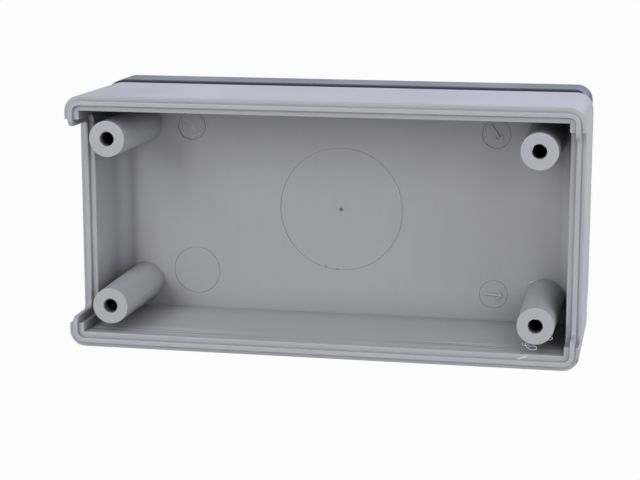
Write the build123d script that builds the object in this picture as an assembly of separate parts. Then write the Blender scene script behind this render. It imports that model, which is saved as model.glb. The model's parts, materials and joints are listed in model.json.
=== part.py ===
"""Plastic project box, opened: a pale base shell and its dark cover, back to back on their long sides.

Each shell is drawn lying on its closed face, with its rim up, and is then stood up in its place.
The base shell's open side looks along -Y, the cover's along +Y. +Z is up and the ground is Z = 0.
"""
import os
from math import radians, tan

from build123d import *

# The closed box, in millimetres, with the two shells' depths up to the parting face
length = 100.0
height = 49.7
base_depth = 27.4
cover_depth = 12.6
corner_radius = 3.1
draft = 0.4
base_end_draft = 0.1
base_floor = 2.7
cover_floor = 2.6
base_edge_radius = 0.4
cover_edge_radius = 4.5
base_end_fillet = 2.5
cover_end_fillet = 1.5
land_edge = 0.2
tiny = 0.001

# The wall at the parting face, from outside in
outer_land = 0.88
tongue_width = 0.94
inner_land = 1.08

# The tongue on the base shell's rim and the room that the cover's groove leaves it
tongue_rise = 0.84
tongue_edge = 0.22
tongue_overhang = 1.4
tongue_corner = 1.5
groove_clearance = 0.1

# The notches in the base shell's end walls, which the cover's tabs fill
left_notch_depth = 9.3
right_notch_depth = 4.65
notch_margin = 4.6
notch_corner = 2.0
tab_clearance = 0.15

# The screw posts of the base shell, with their blind pilot holes.
# The insets are from the box's sides to a post's axis.
post_inset_x = 8.35
post_inset_y = 8.3
post_tip_radius = 3.54
post_draft = 0.7
post_setback = 0.3
post_edge = 0.15
pilot_radius = 1.41
pilot_depth = 18.0

# The cover's screw sleeves
sleeve_radius = 4.3
sleeve_gap = 0.2
screw_hole_radius = 1.9
head_radius = 3.4
head_depth = 7.0

# Marks that the mould left on the base shell's floor
insert_radius = 12.62
seam_width = 0.22
seam_depth = 0.12
gate_radius = 0.38
gate_depth = 0.5
gate_rim_radius = 1.0
gate_rim_height = 0.12
pin_radius = 2.85
pin_from_post_x = 10.35
pin_from_post_y = 0.25
pin_step = 0.1
plate_radius = 4.85
plate_from_post_x = 11.15
plate_from_post_y = 2.65
arrow_length = 3.4
arrow_width = 0.38
arrow_head = 1.2
arrow_spread = 38.0
arrow_height = 0.3
arrow_turn_upper = -55.0
arrow_turn_lower = -6.0

# How the two shells stand: the cover is a little off to the left
cover_shift = -0.75
back_gap = 0.0

wall = outer_land + tongue_width + inner_land
slope = tan(radians(draft))
base_end_slope = tan(radians(base_end_draft))
notch_width = height - 2 * notch_margin
notch_depths = {-1: left_notch_depth, 1: right_notch_depth}
post_x = length / 2 - post_inset_x
post_y = height / 2 - post_inset_y
post_places = [(x * post_x, y * post_y) for x in (-1, 1) for y in (-1, 1)]
post_tip_z = base_depth - post_setback


def rim_outline(inset):
    """The box's outline at the parting face, moved inwards."""
    return RectangleRounded(length - 2 * inset, height - 2 * inset, corner_radius - inset)


def outer_outline(span_x, span_y):
    """An outline with the box's rounded corners."""
    return RectangleRounded(span_x, span_y, corner_radius)


def drafted(outline, inset, rim_z, floor_z, end_slope):
    """A block that narrows from its outline at the rim down to the floor, with its own slope at the ends."""
    drop = rim_z - floor_z
    rim = outline(length - 2 * inset, height - 2 * inset)
    foot = outline(length - 2 * (inset + drop * end_slope), height - 2 * (inset + drop * slope))
    return loft([Pos(0, 0, floor_z) * foot, Pos(0, 0, rim_z) * rim], ruled=True)


def ring_prism(inset, width, low, high):
    """A straight ring that follows the outline."""
    ring = rim_outline(inset) - rim_outline(inset + width)
    return extrude(Pos(0, 0, low) * ring, amount=high - low)


def end_box(side, width, low, high, lower_corner):
    """A block across the left (-1) or right (1) end wall, with rounded lower corners."""
    reach = wall + corner_radius
    block = Box(2 * reach, width, high - low, align=(Align.CENTER, Align.CENTER, Align.MIN))
    lower = block.edges().filter_by(Axis.X).group_by(Axis.Z)[0]
    return Pos(side * length / 2, 0, low) * fillet(lower, lower_corner)


def crosses_wall(edge, reach):
    """Whether an edge only runs across the end wall, at a notch."""
    size = edge.bounding_box().size
    return max(size.Y, size.Z) < tiny and size.X < reach


def tongue(play):
    """The base shell's tongue with play all round, from below the deeper notch up to its crest.

    In each notch it stands out past the ledges at the notch's bottom and sides.
    """
    crest = base_depth + tongue_rise + play
    ring = ring_prism(outer_land - play, tongue_width + 2 * play, base_depth - left_notch_depth - wall, crest)
    gap_width = notch_width - 2 * tongue_overhang - 2 * play
    gap_corner = notch_corner - tongue_rise - play
    for side, depth in notch_depths.items():
        ring -= end_box(side, gap_width, crest - depth, crest + tongue_rise, gap_corner)
    return ring


def crest_edges(ring):
    """The tongue's edges along the walls and round the notches, without those at its foot or across it."""
    foot = ring.bounding_box().min.Z
    along = [e for e in ring.edges() if e.center().Z > foot + tiny and not crosses_wall(e, 2 * tongue_width)]
    return [e for e in along if abs(e.center().Y) < notch_width / 2 or e.bounding_box().size.Z < tiny]


def base_tongue():
    """The tongue on the base shell's rim, rounded where it turns down into the notches, with eased edges."""
    ring = tongue(0)
    turns = [e for e in ring.edges() if e.center().Z > base_depth and crosses_wall(e, 2 * tongue_width)]
    ring = fillet(turns, tongue_corner)
    return fillet(crest_edges(ring), tongue_edge)


def land_edges(shell):
    """The edges along the lands beside the tongue, at the parting face and at the notches' bottoms."""
    levels = [base_depth] + [base_depth - depth for depth in notch_depths.values()]
    level = [e for e in shell.edges() if min(abs(e.center().Z - z) for z in levels) < tiny]
    return [e for e in level if e.bounding_box().size.Z < tiny and not crosses_wall(e, 2 * wall)]


def cavity(depth, floor, end_radius, end_slope):
    """The space inside a shell, with its floor rounded up into the end walls only."""
    space = drafted(Rectangle, wall, depth, floor, end_slope)
    ends = space.edges().group_by(Axis.Z)[0].filter_by(Axis.Y)
    return fillet(ends, end_radius)


def base_posts():
    """The four posts, wider at the floor, with their pilot holes."""
    rise = post_tip_z - base_floor / 2
    foot_radius = post_tip_radius + rise * tan(radians(post_draft))
    post = Cone(foot_radius, post_tip_radius, rise, align=(Align.CENTER, Align.CENTER, Align.MIN))
    post = fillet(post.edges().group_by(Axis.Z)[-1], post_edge)
    return [Pos(x, y, base_floor / 2) * post for x, y in post_places]


def pilot_holes():
    """The blind holes that the cover's screws cut their threads in, with eased mouths."""
    below = (Align.CENTER, Align.CENTER, Align.MAX)
    hole = Cylinder(pilot_radius, pilot_depth, align=below)
    hole += Cone(pilot_radius, pilot_radius + post_edge, post_edge, align=below)
    return [Pos(x, y, post_tip_z) * hole for x, y in post_places]


def seam(x, y, radius, depth):
    """A fine round groove where a mould insert met the rest of the mould."""
    ring = Circle(radius + seam_width / 2) - Circle(radius - seam_width / 2)
    return extrude(Pos(x, y, base_floor) * ring, amount=-depth)


def arrow(x, y, turn):
    """A small raised arrow."""
    shaft = Pos(-arrow_width / 2, 0) * Rectangle(arrow_length, arrow_width)
    tip = Pos(arrow_length / 2, 0)
    barb = Pos(-arrow_head / 2, 0) * Rectangle(arrow_head, arrow_width)
    head = [tip * Rot(0, 0, side * arrow_spread) * barb for side in (-1, 1)]
    return Pos(x, y, base_floor) * Rot(0, 0, turn) * extrude(shaft + head, amount=arrow_height)


def add_floor_marks(shell):
    """The seams, pin marks, arrows and gate mark on the base shell's floor."""
    x = post_x - pin_from_post_x
    y = post_y - pin_from_post_y
    plate_x = plate_from_post_x - post_x
    plate_y = plate_from_post_y - post_y
    disc = Cylinder(pin_radius, 2 * pin_step)
    for side in (-1, 1):
        shell -= Pos(side * x, y, base_floor) * disc + seam(side * x, y, pin_radius, pin_step + seam_depth)
    shell += [arrow(x, -y, arrow_turn_lower), Pos(0, 0, -pin_step) * arrow(x, y, arrow_turn_upper)]
    gate_rim = Cone(gate_rim_radius, gate_radius, 2 * gate_rim_height)
    shell += Pos(0, 0, base_floor) * gate_rim
    for place in ((0, 0, insert_radius), (x, -y, pin_radius), (plate_x, plate_y, plate_radius)):
        shell -= seam(*place, seam_depth)
    shell -= Pos(0, 0, base_floor + gate_rim_height) * Cylinder(gate_radius, 2 * gate_depth)
    return shell


def make_base():
    """The pale base shell: walls, end notches, tongue, posts and the marks on its floor."""
    shell = drafted(outer_outline, 0, base_depth, 0, base_end_slope)
    back = shell.edges().group_by(Axis.Z)[0]
    shell = fillet(back, base_edge_radius)
    shell -= cavity(base_depth, base_floor, base_end_fillet, base_end_slope)
    for side, depth in notch_depths.items():
        shell -= end_box(side, notch_width, base_depth - depth, base_depth + tongue_rise, notch_corner)
    shell = fillet(land_edges(shell), land_edge)
    shell += base_tongue()
    shell += base_posts()
    shell -= pilot_holes()
    return add_floor_marks(shell)


def rounded_slab(span):
    """The cover's outline from one side, rim up, with two rounded lower corners."""
    narrowing = cover_depth * slope
    half = span / 2
    corners = [(narrowing - half, 0), (half - narrowing, 0), (half, cover_depth), (-half, cover_depth)]
    section = Polygon(*corners, align=None)
    lower = section.vertices().group_by(Axis.Y)[0]
    return fillet(lower, cover_edge_radius)


def cover_body():
    """The cover's shell, with soft edges round its closed face."""
    shell = extrude(Pos(0, 0, cover_depth) * rim_outline(0), amount=-cover_depth, taper=draft)
    shell &= extrude(Plane.XZ * rounded_slab(length), amount=height, both=True)
    shell &= extrude(Plane.YZ * rounded_slab(height), amount=length, both=True)
    return shell - cavity(cover_depth, cover_floor, cover_end_fillet, slope)


def cover_tabs():
    """The tabs on the cover's end walls, which fill the base shell's notches with their rounded corners."""
    tabs = []
    for side, depth in notch_depths.items():
        rise = depth - tab_clearance
        strip = ring_prism(0, wall, cover_depth, cover_depth + rise)
        turned = end_box(side, notch_width - 2 * tab_clearance, -rise, rise, notch_corner - tab_clearance)
        tabs.append(strip & Pos(0, 0, cover_depth) * Rot(180, 0, 0) * turned)
    return tabs


def cover_groove():
    """The groove in the cover's rim and tabs, cut by the tongue as it lies when the box is closed."""
    closed = Pos(0, 0, base_depth + cover_depth) * Rot(180, 0, 0)
    return closed * tongue(groove_clearance)


def make_cover():
    """The dark cover: walls, tabs, groove and screw sleeves."""
    shell = cover_body() + cover_tabs() - cover_groove()
    top = cover_depth + post_setback - sleeve_gap
    rise = top - cover_floor / 2
    sleeve = Cylinder(sleeve_radius, rise, align=(Align.CENTER, Align.CENTER, Align.MIN))
    hole = Cylinder(screw_hole_radius, top, align=(Align.CENTER, Align.CENTER, Align.MIN))
    head = Cylinder(head_radius, head_depth, align=(Align.CENTER, Align.CENTER, Align.MIN))
    shell += [Pos(x, y, cover_floor / 2) * sleeve for x, y in post_places]
    shell -= [Pos(x, y, 0) * cut for x, y in post_places for cut in (hole, head)]
    return shell


def stand_up(base, cover):
    """Stand both shells on their long sides, with the origin under the middle of the two."""
    base_reach = base_depth + tongue_rise
    cover_reach = cover_depth + max(notch_depths.values()) - tab_clearance
    total = base_reach + back_gap + cover_reach
    middle_x = cover_shift / 2
    base_place = Pos(-middle_x, base_reach - total / 2, height / 2) * Rot(90, 0, 0)
    cover_place = Pos(cover_shift - middle_x, base_reach + back_gap - total / 2, height / 2) * Rot(-90, 0, 0)
    return {"base_shell": base_place * base, "cover_shell": cover_place * cover}


def write_parts():
    """Write one STEP file for each shell."""
    os.makedirs("parts", exist_ok=True)
    for name, shape in stand_up(make_base(), make_cover()).items():
        shape.label = name
        export_step(shape, f"parts/{name}.step")
        box = shape.bounding_box()
        print(name, len(shape.solids()), round(shape.volume, 1), box.min, box.max)


write_parts()
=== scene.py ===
"""Looks of the opened plastic project box: materials, mould marks, shavings, floor, light and camera."""
import json

import bpy
import numpy as np
from mathutils import Matrix, Vector


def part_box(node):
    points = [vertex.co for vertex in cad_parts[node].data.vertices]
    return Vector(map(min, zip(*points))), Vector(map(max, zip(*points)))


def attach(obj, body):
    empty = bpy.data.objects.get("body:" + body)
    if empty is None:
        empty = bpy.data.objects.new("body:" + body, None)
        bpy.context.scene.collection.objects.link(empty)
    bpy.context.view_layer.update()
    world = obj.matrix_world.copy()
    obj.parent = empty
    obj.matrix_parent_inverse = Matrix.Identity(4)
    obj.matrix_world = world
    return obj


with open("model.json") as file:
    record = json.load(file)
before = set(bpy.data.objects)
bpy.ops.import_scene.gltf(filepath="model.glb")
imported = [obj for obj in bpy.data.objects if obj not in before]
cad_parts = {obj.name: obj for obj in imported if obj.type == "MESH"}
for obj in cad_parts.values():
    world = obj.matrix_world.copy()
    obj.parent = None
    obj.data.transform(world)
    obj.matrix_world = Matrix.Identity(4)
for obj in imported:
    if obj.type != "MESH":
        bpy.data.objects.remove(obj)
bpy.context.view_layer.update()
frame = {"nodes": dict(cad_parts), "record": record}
mm = 0.001

# The photograph's camera, in metres and radians
camera_place = (0.06605, -0.34728, 0.088555)
camera_turn = 0.1990
camera_tilt = 0.1955
camera_roll = 0.0007
camera_lens = 99.306

# The lamps: place, width and height in metres, power in watts, colour
aim = (0.0, 0.0, 0.025)
lamps = {
    "key_left": ((-0.29, -0.97, 0.42), (0.12, 0.6), 2.1, (0.97, 0.96, 1.0)),
    "key_left_wide": ((-0.5, -0.95, 0.45), (0.2, 0.4), 1.3, (0.92, 0.90, 1.0)),
    "key_right": ((0.45, -0.95, 0.4), (0.25, 0.4), 1.0, (0.94, 0.94, 1.0)),
    "front_right": ((0.85, -0.65, 0.4), (0.5, 0.5), 1.5, (0.86, 0.90, 1.0)),
    "side_right": ((1.0, -0.1, 0.5), (0.6, 0.6), 2.0, (0.64, 0.69, 1.0)),
    "high_left": ((-0.6, -0.5, 0.8), (0.5, 0.5), 2.5, (0.80, 0.84, 1.0)),
    "high_right": ((0.6, -0.5, 0.8), (0.5, 0.5), 1.7, (1.0, 0.93, 0.84)),
    "back_low": ((0.15, 1.1, 0.35), (1.4, 0.5), 4.7, (0.80, 0.83, 1.0)),
}
surround = (1.0, 1.0, 1.0, 1.0)
surround_strength = 0.1
floor_reach = 3.0
floor_whiteness = 0.96

# Linear colours
pale_grey = (0.51, 0.51, 0.525, 1.0)
highlight_and_wear_grey = (0.80, 0.80, 0.81, 1.0)
stressed_grey = (0.85, 0.85, 0.86, 1.0)
painted_shade_grey = (0.17, 0.17, 0.19, 1.0)
speck_grey = (0.16, 0.16, 0.17, 1.0)
speck_brown = (0.20, 0.09, 0.05, 1.0)
bore_shade_grey = (0.035, 0.035, 0.042, 1.0)
anthracite = (0.052, 0.060, 0.084, 1.0)
worn_anthracite = (0.10, 0.10, 0.12, 1.0)

# How strongly a colour goes over to another: along the edges (wear, on the pale shell also a painted
# highlight), in the painted shade of seams and corners, and along the painted light lines
# On the pale shell the paler edges are wear and a painted highlight of the rounded crests and post tips
pale_highlight_and_wear = 0.55
dark_wear = 0.3
shaving_wear = 0.1
seam_shade_share = 0.4
corner_shade_share = 0.7
painted_light_strength = 0.32

# Sizes that the frame doesn't state
# The painted light lines' band is measured from the tongue's crest, and its top from the ground
floor_thickness = 2.7 * mm
painted_light_band_front = 1.5 * mm
painted_light_band_back = 9.5 * mm
painted_light_band_top = 3.3 * mm
bore_shade_depth = 3.0 * mm
bore_shade_margin = 1.06
shell_grain = 0.03 * mm
shaving_grain = 0.01 * mm
plastic_ior = 1.5
strand_sides = 10

# Places on the base shell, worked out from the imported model
base_low, base_high = (Vector(corner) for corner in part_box("base_shell"))
holes = next(mount for mount in frame["record"]["mounts"] if mount["name"] == "post_holes")
hole_centre = Vector(holes["pos_m"])
hole_reach_x = holes["dims"]["spacing_x_mm"] * mm / 2
hole_reach_z = holes["dims"]["spacing_y_mm"] * mm / 2
hole_radius = holes["dims"]["hole_r_mm"] * mm
crest_y = base_low.y
floor_y = base_high.y - floor_thickness
tip_y = hole_centre.y
lower_right_post = hole_centre + Vector((hole_reach_x, 0, -hole_reach_z))
upper_right_post = hole_centre + Vector((hole_reach_x, 0, hole_reach_z))
upper_left_post = hole_centre + Vector((-hole_reach_x, 0, hole_reach_z))

# Small marks on the base shell, some of them painted highlights and painted shadows: colour, strength,
# the post that they are placed from, and their start, end and width in mm
small_marks_and_painted_light = [
    (stressed_grey, 1.0, lower_right_post, (-3.04, -0.30, -6.37), (-1.37, -0.30, -5.70), 0.20),
    (speck_grey, 0.8, lower_right_post, (-17.55, 23.95, -5.25), (-17.15, 23.95, -5.25), 0.35),
    (speck_grey, 0.7, lower_right_post, (-44.97, 24.40, 4.55), (-44.72, 24.40, 4.55), 0.34),
    (speck_grey, 0.7, lower_right_post, (-42.57, 24.40, 4.05), (-42.32, 24.40, 4.05), 0.30),
    (speck_brown, 0.9, lower_right_post, (8.05, -0.30, -6.35), (8.10, -0.20, -6.15), 0.50),
    (speck_grey, 0.8, lower_right_post, (8.35, 9.90, -2.55), (8.35, 9.90, -2.30), 0.32),
    (speck_grey, 0.8, upper_right_post, (8.20, 20.60, 5.90), (8.20, 20.90, 6.10), 0.35),
    # Painted highlights along the raised mark's strokes and along the two arrows' shafts
    (highlight_and_wear_grey, 0.55, upper_left_post, (8.89, 24.50, 0.94), (10.74, 24.50, -0.25), 0.17),
    (highlight_and_wear_grey, 0.55, upper_left_post, (10.74, 24.50, -0.25), (10.46, 24.50, -0.79), 0.14),
    (highlight_and_wear_grey, 0.55, upper_left_post, (10.46, 24.50, -0.79), (11.97, 24.50, -1.83), 0.17),
    (highlight_and_wear_grey, 0.55, upper_left_post, (11.97, 24.50, -1.83), (10.31, 24.50, -2.51), 0.14),
    (highlight_and_wear_grey, 0.60, lower_right_post, (-12.05, 24.10, 0.30), (-9.00, 24.10, 0.14), 0.22),
    (highlight_and_wear_grey, 0.45, upper_right_post, (-11.30, 24.20, 1.16), (-9.48, 24.20, -0.99), 0.24),
    # Painted shadows beside the raised mark's strokes
    (painted_shade_grey, 0.35, upper_left_post, (8.70, 24.50, 0.55), (10.40, 24.50, 0.10), 0.14),
    (painted_shade_grey, 0.35, upper_left_post, (10.45, 24.50, -1.10), (11.70, 24.50, -1.65), 0.14),
]


def node(tree, kind, **settings):
    """A new node with the given properties; a key of the form in_NAME or in_NUMBER sets an input."""
    made = tree.nodes.new(kind)
    for key, value in settings.items():
        if key.startswith("in_"):
            name = key[3:]
            made.inputs[int(name) if name.isdigit() else name.replace("_", " ")].default_value = value
        else:
            setattr(made, key, value)
    return made


def open_group(name, inputs, outputs):
    """A shader node group with named sockets, and its input and output nodes."""
    group = bpy.data.node_groups.new(name, "ShaderNodeTree")
    for label, kind, value in inputs:
        socket = group.interface.new_socket(name=label, in_out="INPUT", socket_type=kind)
        if value is not None:
            socket.default_value = value
    for label, kind in outputs:
        group.interface.new_socket(name=label, in_out="OUTPUT", socket_type=kind)
    return group, group.nodes.new("NodeGroupInput"), group.nodes.new("NodeGroupOutput")


def moulded_texture_group():
    """The skin of a moulded plastic: fine grain for the height, slow patches and faint flow streaks."""
    inputs = [("Position", "NodeSocketVector", None), ("Grain", "NodeSocketFloat", 2600.0),
              ("Patch", "NodeSocketFloat", 45.0)]
    outputs = [("Height", "NodeSocketFloat"), ("Patches", "NodeSocketFloat"), ("Streaks", "NodeSocketFloat")]
    group, source, result = open_group("moulded texture", inputs, outputs)
    links = group.links
    fine = node(group, "ShaderNodeTexNoise", in_Detail=3.0, in_Roughness=0.6)
    slow = node(group, "ShaderNodeTexNoise", in_Detail=2.0, in_Roughness=0.5)
    flat = node(group, "ShaderNodeVectorMath", operation="MULTIPLY")
    flat.inputs[1].default_value = (900.0, 60.0, 25.0)
    flow = node(group, "ShaderNodeTexNoise", in_Scale=1.0, in_Detail=2.0, in_Roughness=0.5)
    links.new(source.outputs["Position"], fine.inputs["Vector"])
    links.new(source.outputs["Grain"], fine.inputs["Scale"])
    links.new(source.outputs["Position"], slow.inputs["Vector"])
    links.new(source.outputs["Patch"], slow.inputs["Scale"])
    links.new(source.outputs["Position"], flat.inputs[0])
    links.new(flat.outputs[0], flow.inputs["Vector"])
    links.new(fine.outputs["Fac"], result.inputs["Height"])
    links.new(slow.outputs["Fac"], result.inputs["Patches"])
    links.new(flow.outputs["Fac"], result.inputs["Streaks"])
    return group


def edge_group():
    """How near a point is to a sharp edge: 0 on a flat face, up to 1 where the rounded and the true normal
    part.
    """
    inputs = [("Radius", "NodeSocketFloat", 0.0003), ("Gain", "NodeSocketFloat", 4.0)]
    group, source, result = open_group("edge nearness", inputs, [("Edge", "NodeSocketFloat")])
    links = group.links
    rounded = node(group, "ShaderNodeBevel", samples=4)
    true = node(group, "ShaderNodeNewGeometry")
    dot = node(group, "ShaderNodeVectorMath", operation="DOT_PRODUCT")
    away = node(group, "ShaderNodeMath", operation="SUBTRACT", in_0=1.0)
    gain = node(group, "ShaderNodeMath", operation="MULTIPLY", use_clamp=True)
    links.new(source.outputs["Radius"], rounded.inputs["Radius"])
    links.new(rounded.outputs["Normal"], dot.inputs[0])
    links.new(true.outputs["Normal"], dot.inputs[1])
    links.new(dot.outputs["Value"], away.inputs[1])
    links.new(away.outputs[0], gain.inputs[0])
    links.new(source.outputs["Gain"], gain.inputs[1])
    links.new(gain.outputs[0], result.inputs["Edge"])
    return group


def stroke_group():
    """A mask of a short straight stroke: 1 on the line from Start along Reach, 0 from Width away from it."""
    inputs = [("Position", "NodeSocketVector", None), ("Start", "NodeSocketVector", (0.0, 0.0, 0.0)),
              ("Reach", "NodeSocketVector", (0.001, 0.0, 0.0)), ("Width", "NodeSocketFloat", 0.0002)]
    group, source, result = open_group("stroke", inputs, [("Mask", "NodeSocketFloat")])
    links = group.links
    away = node(group, "ShaderNodeVectorMath", operation="SUBTRACT")
    along = node(group, "ShaderNodeVectorMath", operation="DOT_PRODUCT")
    whole = node(group, "ShaderNodeVectorMath", operation="DOT_PRODUCT")
    share = node(group, "ShaderNodeMath", operation="DIVIDE", use_clamp=True)
    step = node(group, "ShaderNodeVectorMath", operation="SCALE")
    gap = node(group, "ShaderNodeVectorMath", operation="DISTANCE")
    mask = node(group, "ShaderNodeMapRange", interpolation_type="SMOOTHSTEP", in_1=0.0, in_3=1.0, in_4=0.0)
    links.new(source.outputs["Position"], away.inputs[0])
    links.new(source.outputs["Start"], away.inputs[1])
    links.new(away.outputs["Vector"], along.inputs[0])
    links.new(source.outputs["Reach"], along.inputs[1])
    links.new(source.outputs["Reach"], whole.inputs[0])
    links.new(source.outputs["Reach"], whole.inputs[1])
    links.new(along.outputs["Value"], share.inputs[0])
    links.new(whole.outputs["Value"], share.inputs[1])
    links.new(source.outputs["Reach"], step.inputs[0])
    links.new(share.outputs[0], step.inputs["Scale"])
    links.new(away.outputs["Vector"], gap.inputs[0])
    links.new(step.outputs["Vector"], gap.inputs[1])
    links.new(gap.outputs["Value"], mask.inputs["Value"])
    links.new(source.outputs["Width"], mask.inputs[2])
    links.new(mask.outputs["Result"], result.inputs["Mask"])
    return group


def bore_shade_group():
    """A mask of painted shade in the four posts' bores, which grows with the depth below the posts' tips.

    Folding X and Z about the middle of the four holes lays all four on one.
    """
    inputs = [("Position", "NodeSocketVector", None), ("Centre", "NodeSocketVector", (0.0, 0.0, 0.0)),
              ("Reach X", "NodeSocketFloat", 0.04), ("Reach Z", "NodeSocketFloat", 0.016),
              ("Radius", "NodeSocketFloat", 0.0015), ("Depth", "NodeSocketFloat", 0.003)]
    group, source, result = open_group("bore shade", inputs, [("Mask", "NodeSocketFloat")])
    links = group.links
    local = node(group, "ShaderNodeVectorMath", operation="SUBTRACT")
    split = node(group, "ShaderNodeSeparateXYZ")
    fold_x = node(group, "ShaderNodeMath", operation="ABSOLUTE")
    fold_z = node(group, "ShaderNodeMath", operation="ABSOLUTE")
    from_x = node(group, "ShaderNodeMath", operation="SUBTRACT")
    from_z = node(group, "ShaderNodeMath", operation="SUBTRACT")
    flat = node(group, "ShaderNodeCombineXYZ")
    size = node(group, "ShaderNodeVectorMath", operation="LENGTH")
    inside = node(group, "ShaderNodeMath", operation="LESS_THAN")
    deep = node(group, "ShaderNodeMath", operation="DIVIDE", use_clamp=True)
    both = node(group, "ShaderNodeMath", operation="MULTIPLY")
    links.new(source.outputs["Position"], local.inputs[0])
    links.new(source.outputs["Centre"], local.inputs[1])
    links.new(local.outputs["Vector"], split.inputs[0])
    links.new(split.outputs["X"], fold_x.inputs[0])
    links.new(split.outputs["Z"], fold_z.inputs[0])
    links.new(fold_x.outputs[0], from_x.inputs[0])
    links.new(source.outputs["Reach X"], from_x.inputs[1])
    links.new(fold_z.outputs[0], from_z.inputs[0])
    links.new(source.outputs["Reach Z"], from_z.inputs[1])
    links.new(from_x.outputs[0], flat.inputs["X"])
    links.new(from_z.outputs[0], flat.inputs["Z"])
    links.new(flat.outputs[0], size.inputs[0])
    links.new(size.outputs["Value"], inside.inputs[0])
    links.new(source.outputs["Radius"], inside.inputs[1])
    links.new(split.outputs["Y"], deep.inputs[0])
    links.new(source.outputs["Depth"], deep.inputs[1])
    links.new(inside.outputs[0], both.inputs[0])
    links.new(deep.outputs[0], both.inputs[1])
    links.new(both.outputs[0], result.inputs["Mask"])
    return group


def painted_shade_group():
    """Painted shade where little light reaches: fine seams and the feet of steps, and the corners behind the
    posts.

    Only the shell itself counts as a neighbour, so the ground doesn't darken its lower edge.
    """
    inputs = [("Seam", "NodeSocketFloat", 0.0004), ("Corner", "NodeSocketFloat", 0.011)]
    outputs = [("Seams", "NodeSocketFloat"), ("Corners", "NodeSocketFloat")]
    group, source, result = open_group("shading_masks", inputs, outputs)
    links = group.links
    for reach, low, high, output in (("Seam", 0.45, 0.90, "Seams"), ("Corner", 0.12, 0.66, "Corners")):
        open_share = node(group, "ShaderNodeAmbientOcclusion", samples=6, only_local=True)
        mask = node(group, "ShaderNodeMapRange", in_1=low, in_2=high, in_3=1.0, in_4=0.0)
        links.new(source.outputs[reach], open_share.inputs["Distance"])
        links.new(open_share.outputs["AO"], mask.inputs["Value"])
        links.new(mask.outputs["Result"], result.inputs[output])
    return group


def painted_light_lines_group():
    """Painted light and shade: fine pale and dark lines along X in a band of the lower wall's inner face
    behind its rim.

    They are strongest near the two ends and fade over the middle.
    """
    inputs = [("Position", "NodeSocketVector", None), ("Front", "NodeSocketFloat", -0.023),
              ("Back", "NodeSocketFloat", -0.0155), ("Top", "NodeSocketFloat", 0.0034),
              ("Density", "NodeSocketFloat", 1100.0)]
    group, source, result = open_group("drag lines", inputs, [("Lines", "NodeSocketFloat")])
    links = group.links
    split = node(group, "ShaderNodeSeparateXYZ")
    lines = node(group, "ShaderNodeTexNoise", noise_dimensions="2D", in_Scale=1.0, in_Detail=1.0)
    place = node(group, "ShaderNodeCombineXYZ")
    across = node(group, "ShaderNodeMath", operation="MULTIPLY")
    slow = node(group, "ShaderNodeMath", operation="MULTIPLY", in_1=25.0)
    contrast = node(group, "ShaderNodeMapRange", in_1=0.40, in_2=0.60, in_3=-1.0, in_4=1.0)
    fade_front = node(group, "ShaderNodeMapRange", interpolation_type="SMOOTHSTEP", in_3=0.0, in_4=1.0)
    fade_back = node(group, "ShaderNodeMapRange", interpolation_type="SMOOTHSTEP", in_3=1.0, in_4=0.0)
    low = node(group, "ShaderNodeMath", operation="LESS_THAN")
    end = node(group, "ShaderNodeMath", operation="ABSOLUTE")
    ends = node(group, "ShaderNodeMapRange", interpolation_type="SMOOTHSTEP", in_1=0.012, in_2=0.032,
                in_3=0.2, in_4=1.0)
    front_edge = node(group, "ShaderNodeMath", operation="ADD", in_1=0.002)
    back_edge = node(group, "ShaderNodeMath", operation="SUBTRACT", in_1=0.004)
    links.new(source.outputs["Position"], split.inputs[0])
    links.new(split.outputs["Y"], across.inputs[0])
    links.new(source.outputs["Density"], across.inputs[1])
    links.new(split.outputs["X"], slow.inputs[0])
    links.new(across.outputs[0], place.inputs["X"])
    links.new(slow.outputs[0], place.inputs["Y"])
    links.new(place.outputs[0], lines.inputs["Vector"])
    links.new(lines.outputs["Fac"], contrast.inputs["Value"])
    links.new(source.outputs["Front"], front_edge.inputs[0])
    links.new(source.outputs["Back"], back_edge.inputs[0])
    links.new(split.outputs["Y"], fade_front.inputs["Value"])
    links.new(source.outputs["Front"], fade_front.inputs[1])
    links.new(front_edge.outputs[0], fade_front.inputs[2])
    links.new(split.outputs["Y"], fade_back.inputs["Value"])
    links.new(back_edge.outputs[0], fade_back.inputs[1])
    links.new(source.outputs["Back"], fade_back.inputs[2])
    links.new(split.outputs["Z"], low.inputs[0])
    links.new(source.outputs["Top"], low.inputs[1])
    links.new(split.outputs["X"], end.inputs[0])
    links.new(end.outputs[0], ends.inputs["Value"])
    value = contrast.outputs["Result"]
    fades = (fade_front.outputs["Result"], fade_back.outputs["Result"], low.outputs[0],
             ends.outputs["Result"])
    for factor in fades:
        times = node(group, "ShaderNodeMath", operation="MULTIPLY")
        links.new(value, times.inputs[0])
        links.new(factor, times.inputs[1])
        value = times.outputs[0]
    links.new(value, result.inputs["Lines"])
    return group


def blended(tree, colour, other, mask):
    """The colour socket mixed with another fixed colour by a mask socket."""
    mix = node(tree, "ShaderNodeMix", data_type="RGBA")
    mix.inputs["B"].default_value = other
    tree.links.new(mask, mix.inputs["Factor"])
    tree.links.new(colour, mix.inputs["A"])
    return mix.outputs["Result"]


def scaled(tree, value, factor, offset=0.0):
    """A value socket times a fixed factor plus a fixed offset."""
    made = node(tree, "ShaderNodeMath", operation="MULTIPLY_ADD", in_1=factor, in_2=offset)
    tree.links.new(value, made.inputs[0])
    return made.outputs[0]


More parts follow.
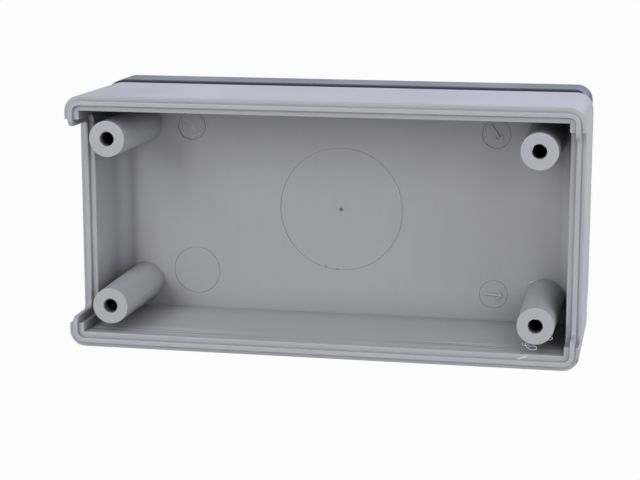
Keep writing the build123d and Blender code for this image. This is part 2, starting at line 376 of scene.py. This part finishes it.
def open_plastic(name, colour, patch_gain, streak_gain, edge_colour, edge_share):
    """The start of a moulded plastic: its tree, shader, texture and position, and its colour.

    The colour is patchy and faintly streaked, and goes over to a paler edge colour along the edges: wear, and
    on the pale shell also a painted highlight.
    """
    material = bpy.data.materials.new(name)
    material.use_nodes = True
    tree = material.node_tree
    tree.nodes.clear()
    shader = node(tree, "ShaderNodeBsdfPrincipled", in_IOR=plastic_ior)
    out = node(tree, "ShaderNodeOutputMaterial")
    place = node(tree, "ShaderNodeTexCoord")
    texture = node(tree, "ShaderNodeGroup", node_tree=texture_group)
    tree.links.new(place.outputs["Object"], texture.inputs["Position"])
    tree.links.new(shader.outputs[0], out.inputs["Surface"])
    patch = scaled(tree, texture.outputs["Patches"], 2 * patch_gain, 1.0 - patch_gain - streak_gain)
    streak = node(tree, "ShaderNodeMath", operation="MULTIPLY_ADD", in_1=2 * streak_gain)
    tree.links.new(texture.outputs["Streaks"], streak.inputs[0])
    tree.links.new(patch, streak.inputs[2])
    tint = node(tree, "ShaderNodeVectorMath", operation="SCALE")
    tint.inputs[0].default_value = colour[:3]
    tree.links.new(streak.outputs[0], tint.inputs["Scale"])
    edge = node(tree, "ShaderNodeGroup", node_tree=edges)
    edged = blended(tree, tint.outputs["Vector"], edge_colour, scaled(tree, edge.outputs["Edge"], edge_share))
    return material, tree, shader, texture, place.outputs["Object"], edged


def close_plastic(tree, shader, texture, colour, rough_low, rough_high, grain_depth):
    """The end of a moulded plastic: its colour, roughness that follows the patches, and the grain's bump."""
    links = tree.links
    links.new(colour, shader.inputs["Base Color"])
    rough = node(tree, "ShaderNodeMapRange", in_1=0.3, in_2=0.7, in_3=rough_low, in_4=rough_high)
    links.new(texture.outputs["Patches"], rough.inputs["Value"])
    links.new(rough.outputs["Result"], shader.inputs["Roughness"])
    bump = node(tree, "ShaderNodeBump", in_Strength=0.25, in_Distance=grain_depth)
    links.new(texture.outputs["Height"], bump.inputs["Height"])
    links.new(bump.outputs["Normal"], shader.inputs["Normal"])


def marked(tree, position, colour, small_mark):
    """The colour socket with one small mark laid over it."""
    mark, strength, post, start, end, width = small_mark
    made = node(tree, "ShaderNodeGroup", node_tree=strokes)
    made.inputs["Start"].default_value = post + Vector(start) * mm
    made.inputs["Reach"].default_value = (Vector(end) - Vector(start)) * mm
    made.inputs["Width"].default_value = width * mm
    tree.links.new(position, made.inputs["Position"])
    return blended(tree, colour, mark, scaled(tree, made.outputs["Mask"], strength))


def pale_plastic():
    """The base shell's pale grey plastic, with painted shade in bores, seams and corners, painted light lines
    and small marks.
    """
    material, tree, shader, texture, position, colour = open_plastic(
        "pale grey plastic", pale_grey, 0.02, 0.02, highlight_and_wear_grey, pale_highlight_and_wear)
    links = tree.links
    painted_light = node(tree, "ShaderNodeGroup", node_tree=painted_light_lines)
    links.new(position, painted_light.inputs["Position"])
    painted_light.inputs["Front"].default_value = crest_y + painted_light_band_front
    painted_light.inputs["Back"].default_value = crest_y + painted_light_band_back
    painted_light.inputs["Top"].default_value = painted_light_band_top
    # Painted light and shade: the lines make the colour paler and darker
    lined = node(tree, "ShaderNodeVectorMath", operation="SCALE")
    links.new(colour, lined.inputs[0])
    links.new(scaled(tree, painted_light.outputs["Lines"], painted_light_strength, 1.0), lined.inputs["Scale"])
    colour = lined.outputs["Vector"]
    shade_mask = node(tree, "ShaderNodeGroup", node_tree=shading_masks)
    # Painted shade in fine seams and in the corners behind the posts
    colour = blended(tree, colour, painted_shade_grey, scaled(tree, shade_mask.outputs["Seams"], seam_shade_share))
    colour = blended(tree, colour, painted_shade_grey, scaled(tree, shade_mask.outputs["Corners"], corner_shade_share))
    # Painted shade in the posts' bores, darker with the depth
    bore = node(tree, "ShaderNodeGroup", node_tree=bores)
    links.new(position, bore.inputs["Position"])
    bore.inputs["Centre"].default_value = hole_centre
    bore.inputs["Reach X"].default_value = hole_reach_x
    bore.inputs["Reach Z"].default_value = hole_reach_z
    bore.inputs["Radius"].default_value = bore_shade_margin * hole_radius
    bore.inputs["Depth"].default_value = bore_shade_depth
    colour = blended(tree, colour, bore_shade_grey, bore.outputs["Mask"])
    for small_mark in small_marks_and_painted_light:
        colour = marked(tree, position, colour, small_mark)
    close_plastic(tree, shader, texture, colour, 0.40, 0.46, shell_grain)
    return material


def dark_plastic():
    """The cover's anthracite plastic."""
    material, tree, shader, texture, _, colour = open_plastic(
        "anthracite plastic", anthracite, 0.06, 0.02, worn_anthracite, dark_wear)
    close_plastic(tree, shader, texture, colour, 0.42, 0.49, shell_grain)
    return material


def shaving_plastic():
    """The thin shavings' plastic, whiter than the shell because it is stressed."""
    material, tree, shader, texture, _, colour = open_plastic(
        "shaving plastic", stressed_grey, 0.03, 0.02, stressed_grey, shaving_wear)
    close_plastic(tree, shader, texture, colour, 0.40, 0.50, shaving_grain)
    return material


def dress(name, material):
    """Give a CAD node its material."""
    slots = frame["nodes"][name].data.materials
    slots.clear()
    slots.append(material)


def ring_points(centre, radius, sides, closed):
    """Points of a round tube round a curve.

    At each centre point the tangent is the difference of its neighbours; one cross axis is the tangent times
    a fixed guide, the other is at right angles to both.
    The ring is centre + radius * (cos a * one + sin a * other).
    """
    if closed:
        tangent = np.roll(centre, -1, axis=0) - np.roll(centre, 1, axis=0)
    else:
        tangent = np.gradient(centre, axis=0)
    tangent /= np.linalg.norm(tangent, axis=1, keepdims=True)
    one = np.cross(tangent, (0.1, 0.98, 0.15))
    one /= np.linalg.norm(one, axis=1, keepdims=True)
    other = np.cross(tangent, one)
    angle = np.linspace(0, 2 * np.pi, sides, endpoint=False)[None, :, None]
    spread = radius[:, None, None] * (np.cos(angle) * one[:, None] + np.sin(angle) * other[:, None])
    return centre[:, None] + spread


def tube_object(name, centre, radius, closed, material):
    """A tube along a curve as one closed mesh with outward normals: a ring, or a strand with closed ends."""
    sides = strand_sides
    points = ring_points(centre, radius, sides, closed)
    count = len(centre)
    along = np.arange(count if closed else count - 1)
    i, j = (grid.ravel() for grid in np.meshgrid(along, np.arange(sides), indexing="ij"))
    i2, j2 = (i + 1) % count, (j + 1) % sides
    faces = np.stack([i * sides + j, i * sides + j2, i2 * sides + j2, i2 * sides + j], axis=1).tolist()
    if not closed:
        faces += [list(range(sides))[::-1], list(range((count - 1) * sides, count * sides))]
    mesh = bpy.data.meshes.new(name)
    mesh.from_pydata(points.reshape(-1, 3).tolist(), [], faces)
    mesh.polygons.foreach_set("use_smooth", np.ones(len(mesh.polygons), bool))
    faced = len(mesh.polygons)
    middles, normals, areas = np.empty(3 * faced), np.empty(3 * faced), np.empty(faced)
    mesh.polygons.foreach_get("center", middles)
    mesh.polygons.foreach_get("normal", normals)
    mesh.polygons.foreach_get("area", areas)
    if ((middles * normals).reshape(-1, 3).sum(axis=1) * areas).sum() < 0:
        mesh.flip_normals()
    mesh.materials.append(material)
    made = bpy.data.objects.new(name, mesh)
    bpy.context.scene.collection.objects.link(made)
    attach(made, "root")


def add_curl(name, start, end, size_start, size_end, flatness, turns, thickness, phase=0.0):
    """A curled shaving: it circles round the start, then round the end, and its size changes on the way.

    Point(t) = start + (end - start) * s + size(t) * (cos a, 0, flatness * sin a),
    with a = phase + 2 pi * turns * t and s = 3 q^2 - 2 q^3, where q goes from 0 to 1 over the middle of t.
    The thickness swells from nearly nothing at both tips: sin(pi * t) to the power 0.3.
    """
    t = np.linspace(0.0, 1.0, 90)[:, None]
    a = phase + 2 * np.pi * turns * t
    size = size_start + (size_end - size_start) * t
    q = np.clip((t - 0.3) / 0.4, 0.0, 1.0)
    drift = np.array(start) + (np.array(end) - np.array(start)) * (3 * q ** 2 - 2 * q ** 3)
    centre = drift + size * np.hstack([np.cos(a), np.zeros_like(a), flatness * np.sin(a)])
    radius = thickness * (0.15 + 0.85 * np.sin(np.pi * t[:, 0]) ** 0.3)
    tube_object(name, centre * mm, radius * mm, False, shaving)


def add_burr(name, post, radius, thickness, phase):
    """The torn lip round a hole's mouth: a ring whose radius and thickness waver.

    Radius(a) = radius + 0.05 * sin(3a + phase) + 0.03 * sin(7a + 2 phase), in millimetres; the thickness
    wavers likewise.
    """
    a = np.linspace(0, 2 * np.pi, 120, endpoint=False)
    reach = radius + 0.05 * np.sin(3 * a + phase) + 0.03 * np.sin(7 * a + 2 * phase)
    centre = np.stack([reach * np.cos(a), 0.02 * np.sin(5 * a), reach * np.sin(a)], axis=1) * mm
    wire = thickness * (1 + 0.4 * np.sin(4 * a + phase) + 0.3 * np.sin(9 * a)) * mm
    tube_object(name, centre + np.array(post), wire, True, pale)


def add_shavings():
    """Shavings under the lower right post, a hair on the floor by it, and the two right holes' torn lips."""
    post_x, post_z = lower_right_post.x / mm, lower_right_post.z / mm
    y = tip_y / mm
    add_curl("shaving_long", (post_x - 1.85, y + 0.5, post_z - 3.55), (post_x - 0.40, y + 0.2, post_z - 4.23),
             0.60, 0.80, 0.50, 2.2, 0.055, phase=2.2)
    add_curl("shaving_short", (post_x + 2.75, y + 0.4, post_z - 2.35), (post_x + 2.95, y + 0.3, post_z - 2.2),
             0.28, 0.3, 0.8, 0.7, 0.05, phase=3.4)
    add_curl("hair_on_floor", (post_x - 3.15, floor_y / mm - 0.05, post_z + 3.0),
             (post_x - 1.95, floor_y / mm - 0.05, post_z + 3.7), 0.25, 0.25, 0.6, 0.45, 0.06, phase=3.0)
    add_burr("burr_lower_right", lower_right_post, hole_radius / mm + 0.08, 0.05, 0.6)
    add_burr("burr_upper_right", upper_right_post, hole_radius / mm + 0.06, 0.06, 2.4)


def add_floor():
    """A plain pale floor with the box's shadow; the camera and reflections see it lifted towards white."""
    reach = floor_reach
    corners = [(-reach, -reach, 0.0), (reach, -reach, 0.0), (reach, reach, 0.0), (-reach, reach, 0.0)]
    mesh = bpy.data.meshes.new("floor")
    mesh.from_pydata(corners, [], [(0, 1, 2, 3)])
    floor = bpy.data.objects.new("floor", mesh)
    bpy.context.scene.collection.objects.link(floor)
    material = bpy.data.materials.new("white floor")
    material.use_nodes = True
    tree = material.node_tree
    tree.nodes.clear()
    matte = node(tree, "ShaderNodeBsdfDiffuse", in_Color=(0.8, 0.8, 0.8, 1.0))
    white = node(tree, "ShaderNodeEmission", in_Color=(1.0, 1.0, 1.0, 1.0), in_Strength=1.0)
    ray = node(tree, "ShaderNodeLightPath")
    seen = node(tree, "ShaderNodeMath", operation="MAXIMUM")
    lift = node(tree, "ShaderNodeMath", operation="MULTIPLY", in_1=floor_whiteness)
    mix = node(tree, "ShaderNodeMixShader")
    out = node(tree, "ShaderNodeOutputMaterial")
    tree.links.new(ray.outputs["Is Camera Ray"], seen.inputs[0])
    tree.links.new(ray.outputs["Is Glossy Ray"], seen.inputs[1])
    tree.links.new(seen.outputs[0], lift.inputs[0])
    tree.links.new(lift.outputs[0], mix.inputs["Fac"])
    tree.links.new(matte.outputs[0], mix.inputs[1])
    tree.links.new(white.outputs[0], mix.inputs[2])
    tree.links.new(mix.outputs[0], out.inputs["Surface"])
    mesh.materials.append(material)


def light_world():
    """A dim white surround for light and reflections, plain white behind the box for the camera."""
    world = bpy.data.worlds.new("studio")
    bpy.context.scene.world = world
    world.use_nodes = True
    tree = world.node_tree
    tree.nodes.clear()
    soft = node(tree, "ShaderNodeBackground", in_Color=surround, in_Strength=surround_strength)
    white = node(tree, "ShaderNodeBackground", in_Color=(1.0, 1.0, 1.0, 1.0), in_Strength=1.0)
    ray = node(tree, "ShaderNodeLightPath")
    mix = node(tree, "ShaderNodeMixShader")
    out = node(tree, "ShaderNodeOutputWorld")
    tree.links.new(ray.outputs["Is Camera Ray"], mix.inputs["Fac"])
    tree.links.new(soft.outputs[0], mix.inputs[1])
    tree.links.new(white.outputs[0], mix.inputs[2])
    tree.links.new(mix.outputs[0], out.inputs["Surface"])


def add_lamps():
    """The rectangular soft lights, all turned to the middle of the box."""
    for name, (place, size, power, colour) in lamps.items():
        light = bpy.data.lights.new(name, "AREA")
        light.shape = "RECTANGLE"
        light.size, light.size_y = size
        light.energy = power
        light.color = colour
        lamp = bpy.data.objects.new(name, light)
        lamp.location = place
        lamp.rotation_euler = (Vector(aim) - Vector(place)).to_track_quat("-Z", "Y").to_euler()
        bpy.context.scene.collection.objects.link(lamp)


def add_camera():
    """The photograph's camera: turned about Z towards -X, tilted down, with a touch of roll."""
    data = bpy.data.cameras.new("camera")
    data.lens = camera_lens
    data.sensor_width = 36.0
    data.sensor_fit = "HORIZONTAL"
    data.clip_start = 0.01
    data.clip_end = 20.0
    across = np.cos(camera_tilt)
    forward = Vector((-np.sin(camera_turn) * across, np.cos(camera_turn) * across, -np.sin(camera_tilt)))
    level = Vector((np.cos(camera_turn), np.sin(camera_turn), 0.0))
    upright = level.cross(forward)
    right = level * np.cos(camera_roll) + upright * np.sin(camera_roll)
    up = right.cross(forward)
    camera = bpy.data.objects.new("camera", data)
    turned = Matrix((right, up, -forward)).transposed().to_4x4()
    camera.matrix_world = Matrix.Translation(camera_place) @ turned
    bpy.context.scene.collection.objects.link(camera)
    bpy.context.scene.camera = camera


texture_group = moulded_texture_group()
edges = edge_group()
strokes = stroke_group()
bores = bore_shade_group()
shading_masks = painted_shade_group()
painted_light_lines = painted_light_lines_group()
pale = pale_plastic()
dress("base_shell", pale)
dress("cover_shell", dark_plastic())
shaving = shaving_plastic()
add_shavings()
add_floor()
light_world()
add_lamps()
add_camera()
bpy.context.scene.view_settings.view_transform = "Standard"
